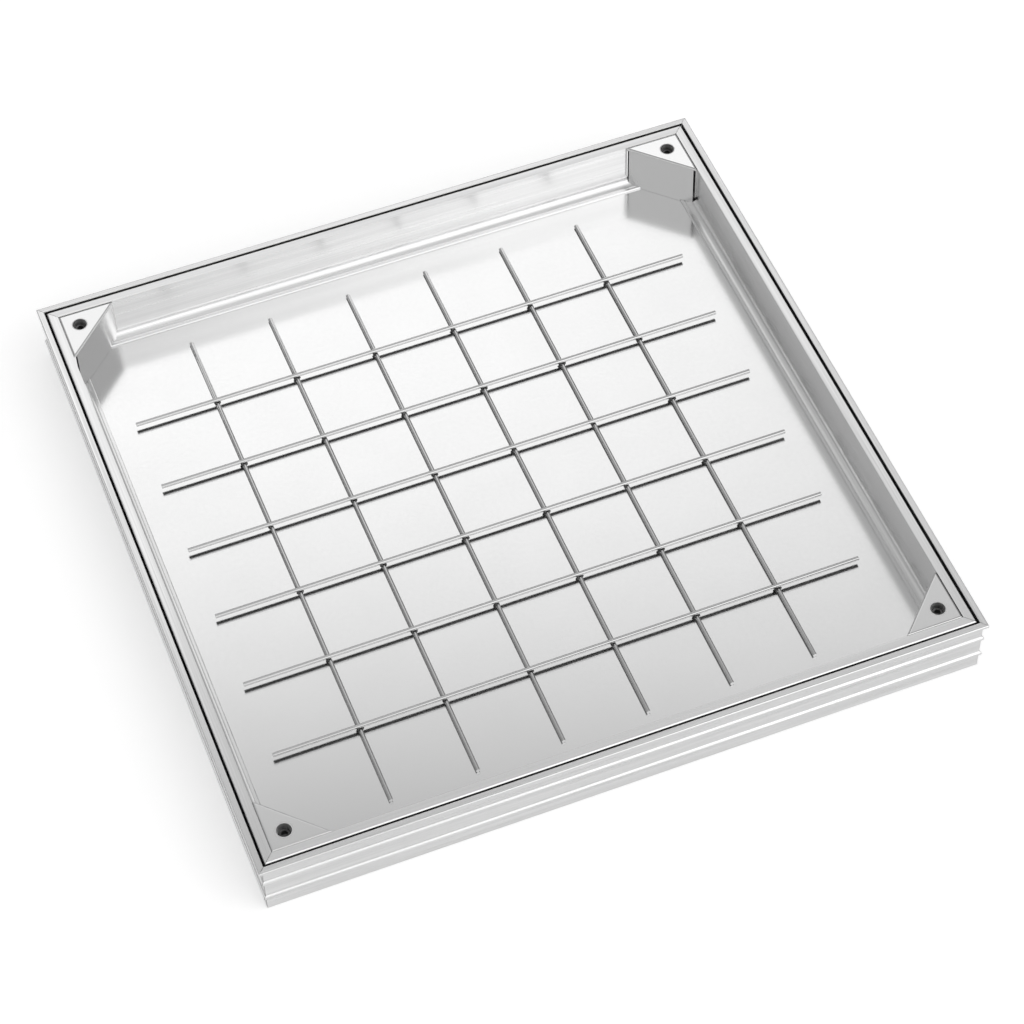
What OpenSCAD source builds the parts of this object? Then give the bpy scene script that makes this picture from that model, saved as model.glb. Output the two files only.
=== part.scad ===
// Recessed paving cover: an aluminium tray for a paving slab, lowered into a frame flush with the ground.
// The origin is at the middle of the underside. +X runs along the front to the right, +Y back, +Z up.
// Sizes are in millimetres. The corners are 1 front left, 2 front right, 3 back right and 4 back left.

/* [Frame] */
// Outside width of the frame over its lips
frame_w = 600; // [480:10:720]
// Height of the frame, with its lip flush with the paving
frame_h = 55; // [42:1:80]
// Thickness of the lip round the top
lip_t = 2.5; // [2:0.1:4]
// How far the lip stands out past the wall
lip_over = 3.3; // [2:0.1:6]
// Radius of the lip's outer top edge
lip_round = 1; // [0.3:0.1:1.5]
// Radius of the frame's inner top edge
edge_round = 0.5; // [0.2:0.1:1]
// Thickness of the frame wall
wall_t = 2.2; // [1.8:0.1:3]
// How far each bedding rib stands out from the wall
rib_out = 1.6; // [1:0.1:2]
// Width of a bedding rib where it meets the wall
rib_w = 5.5; // [4.4:0.1:7]
// Height of the lower rib's middle
rib_low = 15.5; // [12:0.5:18]
// Distance between the middles of the two ribs
rib_pitch = 20; // [12:0.5:22]
// Thickness of the seat flange at the foot of the frame
seat_t = 2.5; // [2:0.1:3]
// How far the seat flange reaches in from the wall
seat_reach = 44.5; // [44.5:0.5:54]
// Fillet between wall and seat flange
seat_fillet = 1.5; // [0.5:0.1:1.8]

/* [Tray rim] */
// Open groove between the frame and the tray
groove_w = 2; // [1.5:0.1:3]
// Width of the tray rim's top
rim_w = 7.7; // [7:0.1:10]
// Chamfer on the rim's outer top edge
rim_chamfer = 0.8; // [0.5:0.1:1.5]
// Thickness of the rim's two walls
rim_wall = 2; // [1.6:0.1:2.2]
// Thickness of the rim's top
rim_top_t = 2.5; // [2:0.1:3]
// Radius of the fillet at the foot of the tray's inner wall
fillet_r = 8; // [6:0.5:10]
// Width of the nose strip that laps over the base sheet
nose_w = 3; // [2.5:0.1:4]
// Thickness of the nose strip
nose_t = 1.7; // [1.3:0.1:2]
// Chamfer on the nose strip's inner edge
nose_chamfer = 0.6; // [0.3:0.1:0.8]
// Width of the shadow groove between fillet and nose strip
nick_w = 0.8; // [0.5:0.1:1.2]
// Depth of the shadow groove
nick_d = 0.5; // [0.3:0.1:0.7]
// How far the foot of the rim reaches in under the sheet
foot_reach = 33; // [28:0.5:36]
// Thickness of the foot of the rim
foot_t = 2; // [1.6:0.1:3]

/* [Base sheet] */
// Thickness of the base sheet
sheet_t = 2; // [1.5:0.1:3]

/* [Corner plates] */
// Length of a corner plate's edge along each wall
plate_leg = 49.3; // [46:0.5:60]
// Thickness of the folded sheet
plate_t = 1.5; // [1.2:0.1:1.6]
// Outside radius of the fold
plate_bend = 1.8; // [1.7:0.1:4]
// Width of the relief that parts the face from the flange on each wall
relief_w = 1.4; // [0.5:0.1:2]

/* [Locks] */
// Distance of a lock screw from the outside of the frame
lock_inset = 30; // [29:0.5:32]
// Outside diameter of the lock sleeve
sleeve_d = 16; // [14:0.5:17]
// Diameter of the sleeve's end that fills the hole in the plate
spigot_d = 13.4; // [13:0.1:13.8]
// Bore over the screw head
bore_d = 12; // [11:0.1:12.4]
// Depth of the screw head's top below the paving
head_drop = 5; // [3:0.5:8]
// Diameter of the screw head
head_d = 10; // [9:0.1:10.4]
// Height of the screw head
head_h = 4; // [3:0.1:6]
// Hexagon socket across its flats
socket_af = 5; // [4:0.1:6]
// Depth of the hexagon socket
socket_d = 2.4; // [1.5:0.1:2.8]
// Screw shank diameter
shank_d = 6; // [5:0.1:6.2]
// Clearance hole for the shank
shank_hole_d = 6.6; // [6.4:0.1:7.2]
// Hole through the seat flange under the screw's tip
drain_d = 8; // [7:0.5:10]
// Height of the screw's tip above the underside
tip_z = 1; // [0.5:0.1:2]

/* [Corner cleats] */
// Thickness of a corner cleat
cleat_t = 3; // [2:0.1:3.2]
// Length of a cleat's leg
cleat_leg = 90; // [70:1:110]
// Width of a cleat's leg
cleat_w = 28; // [26:0.5:28.5]
// Gap between cleat and frame wall
cleat_gap = 2; // [1.9:0.1:2.4]
// Diameter of a cleat screw's countersunk head
csk_d = 8; // [7:0.1:9]
// Diameter of a cleat screw's shank
csk_shank_d = 4; // [3:0.1:4.5]
// Distance of a cleat screw from the end of its leg
csk_end = 14; // [10:1:20]

/* [Seal] */
// Height of the pressed seal, from the seat flange to the foot of the tray rim
seal_h = 3.5; // [3.4:0.1:4.5]
// Width of the seal's base
seal_w = 9; // [7:0.1:9.4]
// Thickness of the seal's base
seal_base = 1.5; // [1:0.1:1.8]
// Distance of the seal from the seat flange's inner edge
seal_inset = 3; // [2:0.1:3.4]

/* [Tray corner keys] */
// Length of a key's leg inside the rim
key_leg = 40; // [25:1:60]

/* [Mesh] */
// Diameter of a mesh wire
rod_d = 3.5; // [2.5:0.1:5]
// Distance from the outside of the frame to the mesh
mesh_inset = 50; // [46:1:70]
// How far the loose mesh lies left of the middle
mesh_left = 2; // [0:0.5:4]
// How far the loose mesh lies behind the middle
mesh_back = 1.5; // [0:0.5:4]
// Angle that the loose mesh has turned, in degrees
mesh_turn = 0.2; // [-0.4:0.1:0.4]

/* [Clearances] */
// Gap across each mitre joint
mitre_gap = 0.3; // [0.1:0.1:0.4]
// Clearance between pieces that are seated or slid together
fit = 0.1; // [0.05:0.05:0.2]

/* [Hidden] */
$fn = 64;
half = frame_w / 2;
wall_out = half - lip_over;
wall_in = wall_out - wall_t;
seat_in = wall_in - seat_reach;
rim_out = wall_in - groove_w;
rim_in = rim_out - rim_w;
foot_low = seat_t + seal_h;
sheet_low = foot_low + foot_t;
sheet_top = sheet_low + sheet_t;
foot_in = rim_in - foot_reach;
nose_low = sheet_top + fit;
nose_top = nose_low + nose_t;
nose_in = rim_in - fillet_r - nose_w;
// How far the end of the sheet's slot lies back from the inner face
slot_back = 0.5;
slot_end = rim_in - slot_back;
// Play of the sheet at the end of its slot
sheet_play = 3 * fit;
sheet_half = slot_end - sheet_play;
chamber_in = rim_in + rim_wall;
chamber_out = rim_out - rim_wall;
rib_r = (pow(rib_w / 2, 2) + pow(rib_out, 2)) / (2 * rib_out);
lock_at = half - lock_inset;
head_seat = frame_h - head_drop - head_h;
// Height of the clearance that the sleeve needs through the nose strip and the foot of the fillet
sleeve_cut_h = 2 * nose_t + 1;
// Diameter of that clearance
sleeve_cut_d = sleeve_d + 6 * fit;
// Chamfer on the edges of the lock screw
screw_edge = head_h / 8;
cleat_out = wall_in - cleat_gap;
cleat_top = seat_t + cleat_t;
csk_at = [cleat_out - cleat_w / 2, cleat_out - cleat_leg + csk_end];
seal_in = seat_in + seal_inset;
seal_bead_r = seal_h - seal_base - fit;
// Wires each way, one node for each
rod_n = 6;
mesh_len = frame_w - 2 * mesh_inset;
// Width of a bay, which is also how far the wires reach past the last crossing
mesh_pitch = mesh_len / (rod_n + 1);
rod_low_z = sheet_top + rod_d / 2 + fit / 2;
rod_high_z = rod_low_z + rod_d + fit / 2;
// Overshoot that carries each cut clear of the faces it opens
cut = 1;

// Turns the back side or the back right corner to another: 0 back, 1 left, 2 front, 3 right
module quarter(turn) {
    rotate([0, 0, 90 * turn]) children();
}

// Draws a section along the back side, with both ends cut to the mitre
module mitred_side(reach) {
    lap = mitre_gap / sqrt(2);
    intersection() {
        rotate([90, 0, 90])
            linear_extrude(height = 2 * reach, center = true)
                children();
        translate([0, lap, -cut])
            linear_extrude(height = frame_h + 2 * cut)
                polygon([[0, 0], [reach + cut, reach + cut], [-reach - cut, reach + cut]]);
    }
}

// The sliver left outside a convex corner of radius r
module corner_waste(r) {
    difference() {
        square(r + cut);
        circle(r);
    }
}

// The web of a concave fillet of radius r, in the corner of a wall on the right and a floor below
module fillet_web(r) {
    translate([-r, 0])
        difference() {
            square(r);
            translate([0, r]) circle(r);
        }
}

// Section of the frame: lip, wall with two half round ribs, seat flange
module frame_section() {
    difference() {
        polygon([
            [seat_in, 0], [wall_out, 0], [wall_out, frame_h - lip_t], [half, frame_h - lip_t],
            [half, frame_h], [wall_in, frame_h], [wall_in, seat_t], [seat_in, seat_t]
        ]);
        translate([half - lip_round, frame_h - lip_round]) corner_waste(lip_round);
        translate([wall_in + edge_round, frame_h - edge_round]) mirror([1, 0]) corner_waste(edge_round);
    }
    translate([wall_in, seat_t]) fillet_web(seat_fillet);
    for (z = [rib_low, rib_low + rib_pitch])
        intersection() {
            translate([wall_out + rib_out - rib_r, z]) circle(rib_r);
            translate([wall_in + wall_t / 2, z - rib_w]) square([rib_w, 2 * rib_w]);
        }
}

// Section of the tray rim: hollow wall, fillet, nose strip over the sheet, foot under it
module rim_section() {
    difference() {
        union() {
            polygon([
                [foot_in, foot_low], [rim_out, foot_low], [rim_out, frame_h - rim_chamfer],
                [rim_out - rim_chamfer, frame_h], [rim_in, frame_h], [rim_in, nose_top],
                [nose_in + nose_chamfer, nose_top], [nose_in, nose_top - nose_chamfer],
                [nose_in, nose_low], [slot_end, nose_low], [slot_end, sheet_low], [foot_in, sheet_low]
            ]);
            translate([rim_in, nose_top]) fillet_web(fillet_r);
        }
        translate([chamber_in, sheet_low])
            square([chamber_out - chamber_in, frame_h - rim_top_t - sheet_low]);
        polygon([
            [nose_in + nose_w - nick_w / 2, nose_top + cut], [nose_in + nose_w - nick_w / 2, nose_top],
            [nose_in + nose_w, nose_top - nick_d], [nose_in + nose_w + nick_w / 2, nose_top],
            [nose_in + nose_w + nick_w / 2, nose_top + cut]
        ]);
    }
}

// Section of the seal: a flat base with two round beads
module seal_section() {
    translate([seal_in, seat_t]) {
        square([seal_w, seal_base]);
        for (x = [seal_w / 4, seal_w * 3 / 4])
            translate([x, seal_base])
                intersection() {
                    circle(seal_bead_r);
                    translate([-seal_bead_r, -seal_base / 2]) square(2 * seal_bead_r + seal_base);
                }
    }
}

// The clear space inside the tray rim and over the sheet, held off them by the fit
module inside_section() {
    r = fillet_r - fit;
    translate([0, nose_top + fillet_r]) square([rim_in - fit, frame_h]);
    translate([0, nose_top + fit]) square([rim_in - fillet_r, frame_h]);
    translate([0, sheet_top + fit]) square([nose_in - fit, frame_h]);
    translate([rim_in - fillet_r, nose_top + fillet_r]) circle(r);
}

// Repeats its children at the four lock screws
module at_locks() {
    for (turn = [0:3]) quarter(turn) translate([lock_at, lock_at, 0]) children();
}

// Repeats its children at the eight cleat screws
module at_cleat_screws() {
    for (turn = [0:3]) quarter(turn) {
        translate([csk_at[0], csk_at[1], 0]) children();
        translate([csk_at[1], csk_at[0], 0]) children();
    }
}

// One side of the frame
module frame_side(turn) {
    color("gainsboro")
        difference() {
            quarter(turn) mitred_side(half) frame_section();
            at_locks() translate([0, 0, -cut]) cylinder(d = drain_d, h = seat_t + 2 * cut);
            at_cleat_screws() translate([0, 0, -cut]) cylinder(d = csk_shank_d + fit, h = seat_t + 2 * cut);
        }
}

// Flat L shaped cleat that joins two sides of the frame and takes the lock screw
module corner_cleat(turn) {
    inner = cleat_out - cleat_w;
    end = cleat_out - cleat_leg;
    color("silver")
        difference() {
            quarter(turn)
                translate([0, 0, seat_t])
                    linear_extrude(height = cleat_t)
                        polygon([
                            [inner, inner], [end, inner], [end, cleat_out],
                            [cleat_out, cleat_out], [cleat_out, end], [inner, end]
                        ]);
            at_locks() cylinder(d = shank_d + fit, h = cleat_top + cut);
            at_cleat_screws() csk_cut();
        }
}

// Countersunk screw with the head flush with the cleat
module csk_screw() {
    rotate_extrude()
        polygon([
            [0, fit], [csk_shank_d / 2, fit], [csk_shank_d / 2, cleat_top - (csk_d - csk_shank_d) / 2],
            [csk_d / 2, cleat_top], [0, cleat_top]
        ]);
}

// The hole and countersink for that screw
module csk_cut() {
    top = cleat_top + cut;
    rotate_extrude()
        polygon([
            [0, 0], [csk_shank_d / 2 + fit / 2, 0],
            [csk_shank_d / 2 + fit / 2, cleat_top - (csk_d - csk_shank_d) / 2],
            [csk_d / 2 + cut + fit / 2, top], [0, top]
        ]);
}

// The eight screws of the cleats
module cleat_screws() {
    color("silver") at_cleat_screws() csk_screw();
}

// One side of the seal
module seal_side(turn) {
    color("dimgray") quarter(turn) mitred_side(half) seal_section();
}

// One side of the tray rim, drilled for the locks
module tray_rim(turn) {
    color("gainsboro")
        difference() {
            quarter(turn) mitred_side(half) rim_section();
            at_locks() {
                translate([0, 0, foot_low - cut]) cylinder(d = shank_hole_d, h = foot_t + 2 * cut);
                translate([0, 0, sheet_top]) cylinder(d = sleeve_cut_d, h = sleeve_cut_h);
            }
        }
}

// Angle key in the rim's chambers at one corner
module tray_key(turn) {
    low = chamber_in + fit;
    high = chamber_out - fit;
    end = high - key_leg;
    color("silver")
        quarter(turn)
            translate([0, 0, sheet_low + fit])
                linear_extrude(height = frame_h - rim_top_t - sheet_low - 2 * fit)
                    polygon([[low, low], [end, low], [end, high], [high, high], [high, end], [low, end]]);
}

// Base sheet, held in the rim's slot
module tray_sheet() {
    color("whitesmoke")
        difference() {
            translate([-sheet_half, -sheet_half, sheet_low])
                cube([2 * sheet_half, 2 * sheet_half, sheet_t]);
            at_locks() translate([0, 0, sheet_low - cut]) cylinder(d = shank_hole_d, h = sheet_t + 2 * cut);
        }
}

// Section of a block that ends at reach, with its top edge rounded there as the fold is
module fold_section(reach) {
    difference() {
        translate([-cut, 0]) square([reach + cut, frame_h]);
        translate([reach - plate_bend, frame_h - plate_bend]) corner_waste(plate_bend);
    }
}

// Section of the hollow in that block, one sheet thickness behind its outside
module hollow_section(reach) {
    translate([-cut, -cut]) square([reach - plate_t + cut, frame_h - plate_t + cut]);
}

// Runs a section along both walls of the tray's corner and keeps what they share
module along_walls() {
    intersection() {
        rotate([90, 0, 90]) linear_extrude(height = frame_w) children();
        translate([0, frame_w, 0]) rotate([90, 0, 0]) linear_extrude(height = frame_w) children();
    }
}

// Runs a section across the corner's diagonal, measured from the corner
module across_corner() {
    translate([rim_in, rim_in, 0])
        rotate([90, 0, -135])
            linear_extrude(height = 2 * plate_leg, center = true)
                children();
}

// Relief beside the wall flange: parts it from the face, and ends it over the fillet
module flange_relief() {
    flange = fit + plate_t;
    open = flange + relief_w;
    end = plate_leg - flange;
    translate([end, -cut, 0]) cube([plate_leg, open + cut, frame_h + cut]);
    translate([end - plate_leg / 4, flange, 0]) cube([plate_leg, relief_w, frame_h - plate_bend - fit]);
    translate([-cut, -cut, 0]) cube([2 * plate_leg, open + cut, nose_top + fillet_r + fit]);
}

// Folded corner plate: flush top, front face, and a flange down each wall
module corner_plate(turn) {
    color("whitesmoke")
        quarter(turn)
            difference() {
                intersection() {
                    along_walls() fold_section(rim_in - fit);
                    across_corner() fold_section(plate_leg / sqrt(2));
                    along_walls() inside_section();
                }
                intersection() {
                    along_walls() hollow_section(rim_in - fit);
                    across_corner() hollow_section(plate_leg / sqrt(2));
                }
                translate([rim_in, rim_in, 0])
                    rotate([0, 0, 180]) {
                        flange_relief();
                        mirror([1, -1, 0]) flange_relief();
                    }
                translate([lock_at, lock_at, frame_h - plate_t - cut])
                    cylinder(d = spigot_d + fit, h = plate_t + 2 * cut);
            }
}

// Turned sleeve between corner plate and base sheet, with the seat of the screw head
module lock_sleeve(turn) {
    color("silver")
        quarter(turn)
            translate([lock_at, lock_at, 0])
                rotate_extrude()
                    polygon([
                        [shank_hole_d / 2, sheet_top], [sleeve_d / 2, sheet_top],
                        [sleeve_d / 2, frame_h - plate_t - fit], [spigot_d / 2, frame_h - plate_t - fit],
                        [spigot_d / 2, frame_h], [bore_d / 2, frame_h],
                        [bore_d / 2, head_seat], [shank_hole_d / 2, head_seat]
                    ]);
}

// Low head socket screw that draws the tray down to the cleat
module lock_screw(turn) {
    color("dimgray")
        quarter(turn)
            translate([lock_at, lock_at, 0])
                difference() {
                    rotate_extrude()
                        polygon([
                            [0, tip_z], [shank_d / 2 - screw_edge, tip_z],
                            [shank_d / 2, tip_z + screw_edge],
                            [shank_d / 2, head_seat], [head_d / 2, head_seat],
                            [head_d / 2, head_seat + head_h - screw_edge],
                            [head_d / 2 - screw_edge, head_seat + head_h], [0, head_seat + head_h]
                        ]);
                    translate([0, 0, head_seat + head_h - socket_d])
                        cylinder(d = socket_af / cos(30), h = socket_d + cut, $fn = 6);
                }
}

// Puts the mesh where it lies in the tray
module mesh_place() {
    translate([-mesh_left, mesh_back, 0]) rotate([0, 0, mesh_turn]) children();
}

// Upper wire number i, counted from the front
module mesh_rod_x(i) {
    color("silver")
        mesh_place()
            translate([0, (i - (rod_n + 1) / 2) * mesh_pitch, rod_high_z])
                rotate([0, 90, 0])
                    cylinder(d = rod_d, h = mesh_len, center = true);
}

// Lower wire number i, counted from the left
module mesh_rod_y(i) {
    color("darkgray")
        mesh_place()
            translate([(i - (rod_n + 1) / 2) * mesh_pitch, 0, rod_low_z])
                rotate([90, 0, 0])
                    cylinder(d = rod_d, h = mesh_len, center = true);
}

frame_side(2);  // frame_front
frame_side(3);  // frame_right
frame_side(0);  // frame_back
frame_side(1);  // frame_left
corner_cleat(2);  // corner_cleat_1
corner_cleat(3);  // corner_cleat_2
corner_cleat(0);  // corner_cleat_3
corner_cleat(1);  // corner_cleat_4
cleat_screws();
seal_side(2);  // seal_front
seal_side(3);  // seal_right
seal_side(0);  // seal_back
seal_side(1);  // seal_left
tray_rim(2);  // tray_rim_front
tray_rim(3);  // tray_rim_right
tray_rim(0);  // tray_rim_back
tray_rim(1);  // tray_rim_left
tray_key(2);  // tray_key_1
tray_key(3);  // tray_key_2
tray_key(0);  // tray_key_3
tray_key(1);  // tray_key_4
tray_sheet();
corner_plate(2);  // corner_plate_1
corner_plate(3);  // corner_plate_2
corner_plate(0);  // corner_plate_3
corner_plate(1);  // corner_plate_4
lock_sleeve(2);  // lock_sleeve_1
lock_sleeve(3);  // lock_sleeve_2
lock_sleeve(0);  // lock_sleeve_3
lock_sleeve(1);  // lock_sleeve_4
lock_screw(2);  // lock_screw_1
lock_screw(3);  // lock_screw_2
lock_screw(0);  // lock_screw_3
lock_screw(1);  // lock_screw_4
mesh_rod_x(1);  // mesh_rod_x1
mesh_rod_x(2);  // mesh_rod_x2
mesh_rod_x(3);  // mesh_rod_x3
mesh_rod_x(4);  // mesh_rod_x4
mesh_rod_x(5);  // mesh_rod_x5
mesh_rod_x(6);  // mesh_rod_x6
mesh_rod_y(1);  // mesh_rod_y1
mesh_rod_y(2);  // mesh_rod_y2
mesh_rod_y(3);  // mesh_rod_y3
mesh_rod_y(4);  // mesh_rod_y4
mesh_rod_y(5);  // mesh_rod_y5
mesh_rod_y(6);  // mesh_rod_y6
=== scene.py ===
import math
import random

import bpy
from mathutils import Matrix, Vector


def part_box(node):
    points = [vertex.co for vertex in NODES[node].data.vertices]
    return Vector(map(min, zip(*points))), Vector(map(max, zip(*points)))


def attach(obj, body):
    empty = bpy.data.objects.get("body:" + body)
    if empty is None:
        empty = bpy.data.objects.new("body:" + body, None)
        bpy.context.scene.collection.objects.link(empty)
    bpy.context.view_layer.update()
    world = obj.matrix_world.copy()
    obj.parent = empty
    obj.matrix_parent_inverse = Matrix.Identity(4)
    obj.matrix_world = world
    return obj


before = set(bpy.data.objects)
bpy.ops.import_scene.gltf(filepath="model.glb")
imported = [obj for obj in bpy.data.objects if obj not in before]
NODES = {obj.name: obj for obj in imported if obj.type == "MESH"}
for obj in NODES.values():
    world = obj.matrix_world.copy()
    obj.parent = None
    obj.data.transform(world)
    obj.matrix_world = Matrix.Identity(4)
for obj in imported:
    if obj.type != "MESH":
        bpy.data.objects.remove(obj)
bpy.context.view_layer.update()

SCENE = bpy.context.scene


# ---------- camera ----------

CAM_AZ, CAM_EL, CAM_ROLL = (math.radians(v) for v in (-19.760, 52.377, -1.934))
CAM_UNIT = 0.3                                      # half the frame's side, m
CAM_ASIDE, CAM_UP, CAM_AWAY = 0.055, -0.139, 8.334  # from the middle of the top, in units of CAM_UNIT
SENSOR = 36                                         # mm
CAM_LENS = 3070.2 / 1024 * SENSOR                   # focal length of 3070.2 pixels on 1024
FRAME_TOP = 0.055                                   # height of the frame, m


def make_camera():
    """The photograph's camera, solved from its straight lines."""
    flat = math.cos(CAM_EL)
    back = Vector((math.sin(CAM_AZ) * flat, -math.cos(CAM_AZ) * flat, math.sin(CAM_EL)))
    level = Vector((0, 0, 1)).cross(back).normalized()
    rise = back.cross(level)
    right = level * math.cos(CAM_ROLL) + rise * math.sin(CAM_ROLL)
    up = rise * math.cos(CAM_ROLL) - level * math.sin(CAM_ROLL)
    data = bpy.data.cameras.new("camera")
    data.sensor_fit = "HORIZONTAL"
    data.sensor_width = SENSOR
    data.lens = CAM_LENS
    data.clip_start, data.clip_end = 0.1, 50
    camera = bpy.data.objects.new("camera", data)
    SCENE.collection.objects.link(camera)
    camera.matrix_world = Matrix((right, up, back)).transposed().to_4x4()
    away = CAM_UNIT * (CAM_ASIDE * right + CAM_UP * up + CAM_AWAY * back)
    camera.location = Vector((0, 0, FRAME_TOP)) + away
    SCENE.camera = camera


# ---------- node helpers ----------

class Tree:
    """Short calls for building a node tree."""

    def __init__(self, tree):
        self.tree = tree
        tree.nodes.clear()

    def node(self, kind, inputs=None, **settings):
        n = self.tree.nodes.new(kind)
        for key, value in settings.items():
            setattr(n, key, value)
        for key, value in (inputs or {}).items():
            self.put(n.inputs[key], value)
        return n

    def put(self, socket, value):
        if isinstance(value, bpy.types.NodeSocket):
            self.tree.links.new(value, socket)
        elif isinstance(value, (tuple, list)) and len(value) == 3 and socket.type == "RGBA":
            socket.default_value = (*value, 1)
        else:
            socket.default_value = value

    def math(self, operation, a, b):
        return self.node("ShaderNodeMath", {0: a, 1: b}, operation=operation).outputs[0]

    def remap(self, value, low, high, to_low, to_high, kind="LINEAR"):
        return self.node("ShaderNodeMapRange", {
            "Value": value, "From Min": low, "From Max": high, "To Min": to_low, "To Max": to_high,
        }, interpolation_type=kind).outputs[0]

    def fade(self, value, low, high, to_low=0, to_high=1):
        """A smooth step from to_low at low to to_high at high."""
        return self.remap(value, low, high, to_low, to_high, "SMOOTHSTEP")

    def stretch(self, coords, scale):
        return self.node("ShaderNodeVectorMath", {0: coords, 1: scale}, operation="MULTIPLY").outputs[0]

    def noise(self, coords, scale, detail, rough):
        return self.node("ShaderNodeTexNoise", {
            "Vector": coords, "Scale": scale, "Detail": detail, "Roughness": rough,
        }).outputs[0]

    def add(self, *values):
        total = values[0]
        for v in values[1:]:
            total = self.math("ADD", total, v)
        return total

    def times(self, a, b):
        return self.math("MULTIPLY", a, b)


def seen_ray(t):
    """1 for a camera, glossy or transmission ray."""
    path = t.node("ShaderNodeLightPath")
    some = t.math("MAXIMUM", path.outputs["Is Camera Ray"], path.outputs["Is Glossy Ray"])
    return t.math("MAXIMUM", some, path.outputs["Is Transmission Ray"])


# ---------- studio ----------

DIFFUSE_LIFT = 0.22             # more light on the floor and rubber, which the metals don't mirror
FLOOR_HALF = 8.0                # half the floor's side, m
FLOOR_DROP = 0.0001             # floor below the part's underside, m
FLOOR_TONE = 0.82
SEEN_LIFT = 0.12                # glow that whitens the floor where it is seen or mirrored
CAMERA_LIFT = 0.24              # and more of it where it is seen


def make_world():
    """A soft studio, white to the camera.

    For other rays it has a white horizon, dim walls that are dimmer on the left and behind, a soft box
    behind, a broad one in front on the right, and a pale middle of the ceiling.
    height is the sine of the elevation, and turn is in degrees from +Y towards +X.
    """
    world = bpy.data.worlds.new("studio")
    world.use_nodes = True
    SCENE.world = world
    t = Tree(world.node_tree)
    ray = t.node("ShaderNodeTexCoord").outputs["Generated"]
    part = t.node("ShaderNodeSeparateXYZ", {"Vector": ray})
    height = part.outputs["Z"]
    turn = t.times(t.math("ARCTAN2", part.outputs["X"], part.outputs["Y"]), 180 / math.pi)

    walls = t.add(t.fade(height, 0.06, 0.26, 1.0, 0.36), t.fade(height, 0.45, 0.80, 0, 0.16))
    side = t.times(t.fade(turn, -140, -100, 0, 0.55), t.fade(turn, 55, 90, 1, 0))
    under_box = t.times(t.fade(height, 0.12, 0.26), t.fade(height, 0.36, 0.52, 1, 0))
    dim = t.times(side, t.add(under_box, t.fade(height, 0.80, 0.90)))
    walls = t.times(walls, t.math("SUBTRACT", 1, dim))
    left = t.times(t.fade(turn, -20, -60, 0, 0.14), t.fade(height, 0.95, 0.70))
    top = t.fade(height, 0.95, 0.995, 0, 0.45)

    box_up = t.times(t.fade(height, 0.54, 0.665), t.fade(height, 0.766, 0.885, 1, 0))
    box_side = t.times(t.fade(turn, -32, 8), t.fade(turn, 16, 58, 1, 0))
    back = t.times(t.times(box_up, box_side), 0.72)

    box_side = t.times(t.fade(turn, 85, 125), t.fade(turn, 158, 179, 1, 0))
    front = t.times(t.fade(height, 0.80, 0.94, 1.05, 0), box_side)
    box_side = t.add(t.fade(turn, 158, 179), t.fade(turn, -180, -160, 1, 0))
    lower = t.times(t.fade(height, 0.60, 0.70, 0.95, 0), t.fade(height, 0.15, 0.35))
    front = t.add(front, t.times(lower, box_side))

    level = t.add(walls, left, back, front, top)
    path = t.node("ShaderNodeLightPath")
    level = t.add(level, t.times(path.outputs["Is Diffuse Ray"], DIFFUSE_LIFT))
    camera = path.outputs["Is Camera Ray"]
    level = t.add(t.times(level, t.math("SUBTRACT", 1, camera)), camera)
    shader = t.node("ShaderNodeBackground", {"Color": (1, 1, 1), "Strength": level})
    out = t.node("ShaderNodeOutputWorld")
    t.put(out.inputs["Surface"], shader.outputs[0])
    world.cycles.sampling_method = "MANUAL"
    world.cycles.sample_map_resolution = 512


def make_floor():
    """A plain pale floor that keeps the part's shadow."""
    mesh = bpy.data.meshes.new("floor")
    s, z = FLOOR_HALF, -FLOOR_DROP
    mesh.from_pydata([(-s, -s, z), (s, -s, z), (s, s, z), (-s, s, z)], [], [(0, 1, 2, 3)])
    floor = bpy.data.objects.new("floor", mesh)
    SCENE.collection.objects.link(floor)
    mat = bpy.data.materials.new("floor")
    mat.use_nodes = True
    t = Tree(mat.node_tree)
    camera = t.node("ShaderNodeLightPath").outputs["Is Camera Ray"]
    lift = t.add(t.times(seen_ray(t), SEEN_LIFT), t.times(camera, CAMERA_LIFT))
    paint = t.node("ShaderNodeBsdfDiffuse", {"Color": (FLOOR_TONE,) * 3})
    glow = t.node("ShaderNodeEmission", {"Color": (1, 1, 1), "Strength": lift})
    both = t.node("ShaderNodeAddShader")
    t.put(both.inputs[0], paint.outputs[0])
    t.put(both.inputs[1], glow.outputs[0])
    out = t.node("ShaderNodeOutputMaterial")
    t.put(out.inputs["Surface"], both.outputs[0])
    mesh.materials.append(mat)


# ---------- materials ----------

COARSE = 160                    # coarse lines across a drawn section, per metre
ROLLED = 25                     # coarse grain of rolled or turned metal, per metre


def grey(t, tone):
    return t.node("ShaderNodeCombineColor", {"Red": tone, "Green": tone, "Blue": tone}).outputs[0]


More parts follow.
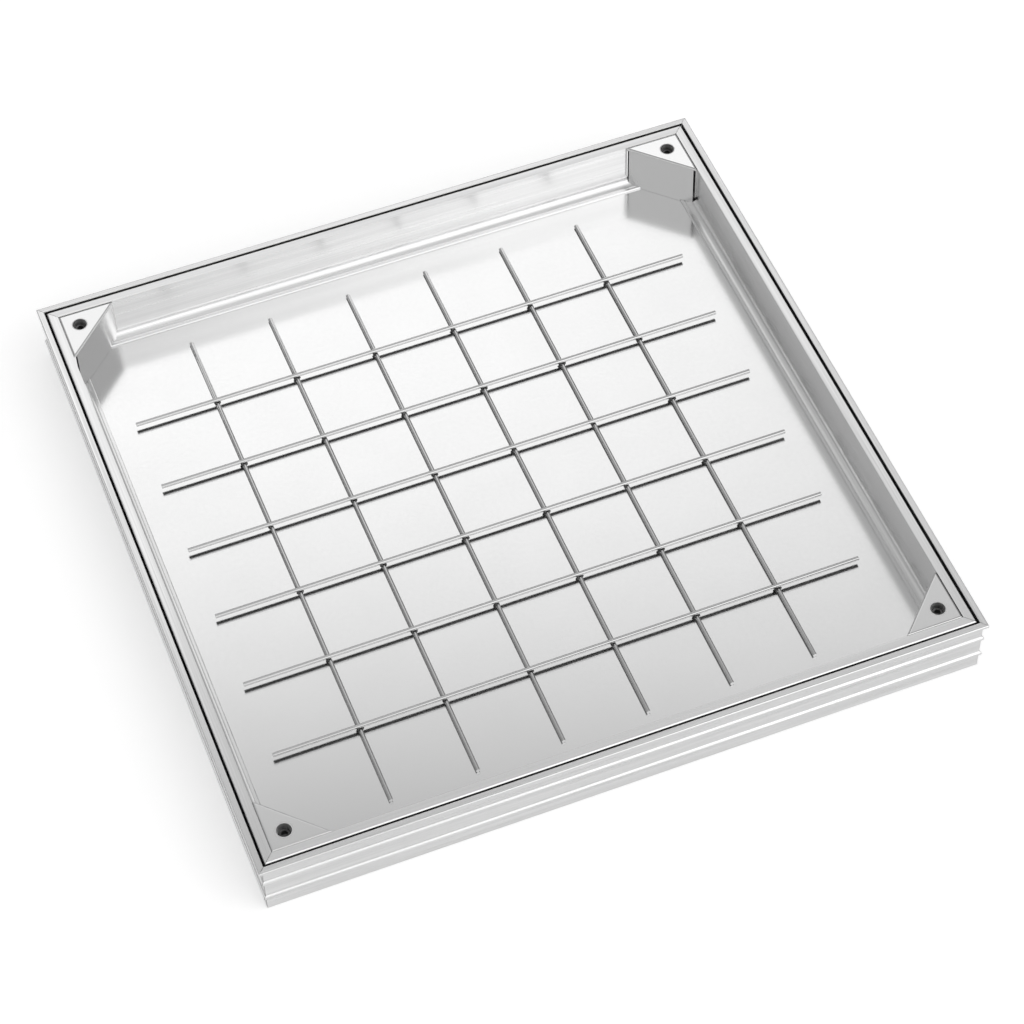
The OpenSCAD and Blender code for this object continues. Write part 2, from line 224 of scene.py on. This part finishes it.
def metal(name, along, base, spread, rough, rough_spread, streak=900, bump=0.02, cloud=0.3, across=0.0,
          painted_underside_shade=None):
    """Drawn, rolled or turned metal.

    along: axis of its fine lines, x, y or none
    base, spread: its tone and how far the grain moves it; rough, rough_spread: the same for roughness
    streak: fine lines per metre; bump: their depth in mm; cloud: share of broad patches
    across: anisotropy of the lines; under: tone of faces that look down, a painted shade that darkens
    the undersides
    """
    mat = bpy.data.materials.new(name)
    mat.use_nodes = True
    t = Tree(mat.node_tree)
    coords = t.node("ShaderNodeTexCoord").outputs["Object"]
    if along == "x":
        lines, coarse = (6, streak, streak), (3, COARSE, COARSE)
    elif along == "y":
        lines, coarse = (streak, 6, streak), (COARSE, 3, COARSE)
    else:
        lines, coarse = (streak,) * 3, (ROLLED,) * 3
    fine = t.noise(t.stretch(coords, lines), 1, 3, 0.6)
    wide = t.noise(t.stretch(coords, coarse), 1, 2, 0.5)
    patch = t.noise(coords, 9, 2, 0.5)
    mix = t.add(t.times(fine, 0.55), t.times(wide, 0.45 - 0.15 * cloud), t.times(patch, 0.15 * cloud))
    tone = t.remap(mix, 0.3, 0.7, base - spread, base + spread)
    # painted shade: faces that look down are darkened towards the given tone, standing in for the shade
    # under the wires
    if painted_underside_shade is not None:
        normal = t.node("ShaderNodeNewGeometry").outputs["Normal"]
        up = t.node("ShaderNodeSeparateXYZ", {"Vector": normal}).outputs["Z"]
        tone = t.times(tone, t.fade(up, -0.60, -0.20, painted_underside_shade / base, 1))
    roughness = t.remap(mix, 0.3, 0.7, rough + rough_spread, rough - rough_spread)
    relief = t.node("ShaderNodeBump", {"Strength": 1.0, "Distance": bump / 1000, "Height": fine})
    shader = t.node("ShaderNodeBsdfPrincipled", {
        "Base Color": grey(t, tone), "Roughness": roughness, "Metallic": 1.0,
        "Normal": relief.outputs[0],
    })
    if across:
        shader.inputs["Anisotropic"].default_value = across
        lie = t.node("ShaderNodeTangent", direction_type="RADIAL", axis=along.upper())
        t.put(shader.inputs["Tangent"], lie.outputs[0])
    out = t.node("ShaderNodeOutputMaterial")
    t.put(out.inputs["Surface"], shader.outputs[0])
    return mat


def rubber(name):
    mat = bpy.data.materials.new(name)
    mat.use_nodes = True
    t = Tree(mat.node_tree)
    coords = t.node("ShaderNodeTexCoord").outputs["Object"]
    grain = t.noise(coords, 1500, 3, 0.6)
    tone = t.remap(grain, 0.3, 0.7, 0.012, 0.022)
    roughness = t.remap(grain, 0.3, 0.7, 0.62, 0.8)
    relief = t.node("ShaderNodeBump", {"Strength": 1.0, "Distance": 0.00005, "Height": grain})
    shader = t.node("ShaderNodeBsdfPrincipled", {
        "Base Color": grey(t, tone), "Roughness": roughness, "Normal": relief.outputs[0],
    })
    out = t.node("ShaderNodeOutputMaterial")
    t.put(out.inputs["Surface"], shader.outputs[0])
    return mat


def paint_nodes():
    """Gives each CAD node its material: by its own name, by its kind and axis, or by its slot's name."""
    # The x and y sections differ a little in tone, the tray's most: painted light and shade, set for how
    # bright each side comes out, as each extrusion is one metal all round.
    frame_mat = {
        "x": metal("frame_section_x", "x", 0.81, 0.10, 0.25, 0.05, across=0.5),
        "y": metal("frame_section_y", "y", 0.80, 0.10, 0.25, 0.05, across=0.6),
    }
    tray_mat = {
        "x": metal("tray_section_x", "x", 0.85, 0.07, 0.29, 0.04, across=0.2),
        "y": metal("tray_section_y", "y", 0.80, 0.08, 0.24, 0.04, across=0.6),
    }
    seal_mat = rubber("seal_rubber")
    single = {
        "tray_sheet": metal("tray_sheet", "none", 0.83, 0.014, 0.158, 0.014, 300, 0.0008, 1),
        "joint_aluminium": metal("joint_aluminium", "none", 0.75, 0.03, 0.4, 0.05),
        "sleeve_steel": metal("sleeve_steel", "none", 0.85, 0.03, 0.42, 0.04, bump=0.004),
        "screw_steel": metal("screw_steel", "none", 0.09, 0.03, 0.15, 0.04, bump=0.006),
    }
    # Each corner plate gets its own tone: painted light and shade for how each plate's slightly tilted
    # top catches the light, as the plates are one metal.
    for name, base in (("corner_plate_1", 0.82), ("corner_plate_2", 0.69),
                       ("corner_plate_3", 0.87), ("corner_plate_4", 0.78)):
        single[name] = metal(name, "none", base, 0.010, 0.17, 0.01, 700, 0.0008, 1)
    # The x wires get a lighter tone than the y wires: painted light and shade, as all wires are one
    # steel. Their undersides get a painted shade as well.
    for axis, base in (("x", 0.66), ("y", 0.58)):
        name = "mesh_wire_" + axis
        single[name] = metal(name, axis, base, 0.04, 0.08, 0.02, bump=0.003, painted_underside_shade=0.08)
    for name, node in NODES.items():
        axis = "x" if name.endswith(("front", "back")) else "y"
        if name.startswith("frame_"):
            mat = frame_mat[axis]
        elif name.startswith("tray_rim_"):
            mat = tray_mat[axis]
        elif name.startswith("seal_"):
            mat = seal_mat
        elif name.startswith("mesh_rod_"):
            mat = single["mesh_wire_" + name[len("mesh_rod_")]]
        elif name in single:
            mat = single[name]
        else:
            mat = single[node.material_slots[0].material.name.split(".")[0]]
        for slot in node.material_slots:
            slot.material = mat


# ---------- welds of the mesh, with painted shade at the crossings ---

ROD_N = 6                               # wires each way
MESH_LENGTH = 0.5                       # m
MESH_TURN = math.radians(0.2)
MESH_LEFT, MESH_BACK = 0.002, 0.0015    # where the loose mesh lies, m
BEAD_X, BEAD_Y, BEAD_LOW = 0.0016, 0.0013, 0.0006   # a bead's middle from the wires' crossing, m


def bead(points, faces, middle, size, rng):
    """One lumpy weld bead: rings of points round a middle, pushed in and out."""
    rings, turns = 5, 9
    first = len(points)
    for i in range(rings):
        up = math.pi * (i + 0.5) / rings
        for j in range(turns):
            around = 2 * math.pi * j / turns
            out = rng.uniform(0.82, 1.15)
            points.append((
                middle[0] + out * size[0] * math.sin(up) * math.cos(around),
                middle[1] + out * size[1] * math.sin(up) * math.sin(around),
                middle[2] + out * size[2] * math.cos(up),
            ))
    for i in range(rings - 1):
        for j in range(turns):
            a, b = first + i * turns + j, first + i * turns + (j + 1) % turns
            faces.append((a, a + turns, b + turns, b))
    faces.append(tuple(first + j for j in range(turns)))
    faces.append(tuple(first + (rings - 1) * turns + j for j in reversed(range(turns))))


def make_welds():
    """Beads in the crooks where the wires cross, with one at the front left of each crossing. They are
    welds. Their dark tone, and the bead that is always at the front left, are also painted shade of the
    contact at each crossing.
    """
    rng = random.Random(11)
    points, faces = [], []
    pitch = MESH_LENGTH / (ROD_N + 1)
    middle_rod = (ROD_N - 1) / 2
    cos, sin = math.cos(MESH_TURN), math.sin(MESH_TURN)
    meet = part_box("mesh_rod_y1")[1][2]
    for i in range(ROD_N):
        for j in range(ROD_N):
            x, y = (i - middle_rod) * pitch, (j - middle_rod) * pitch
            x, y = x * cos - y * sin - MESH_LEFT, x * sin + y * cos + MESH_BACK
            for side, front in ((-1, -1), (1, -1), (-1, 1)):
                if (side, front) != (-1, -1) and rng.random() < 0.4:
                    continue
                size = [rng.uniform(0.0012, 0.0018) for _ in range(2)] + [rng.uniform(0.0013, 0.0018)]
                middle = (x + side * BEAD_X, y + front * BEAD_Y, meet - BEAD_LOW)
                bead(points, faces, middle, size, rng)
    mesh = bpy.data.meshes.new("mesh_welds")
    mesh.from_pydata(points, [], faces)
    mesh.update()
    for face in mesh.polygons:
        face.use_smooth = True
    # dark tone: weld scale and painted shade of the crossings
    mesh.materials.append(metal("weld_and_painted_shade", "none", 0.10, 0.05, 0.38, 0.10, 1400, 0.03))
    welds = bpy.data.objects.new("mesh_welds", mesh)
    SCENE.collection.objects.link(welds)
    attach(welds, "root")


make_camera()
make_world()
make_floor()
paint_nodes()
make_welds()
SCENE.view_settings.view_transform = "Standard"
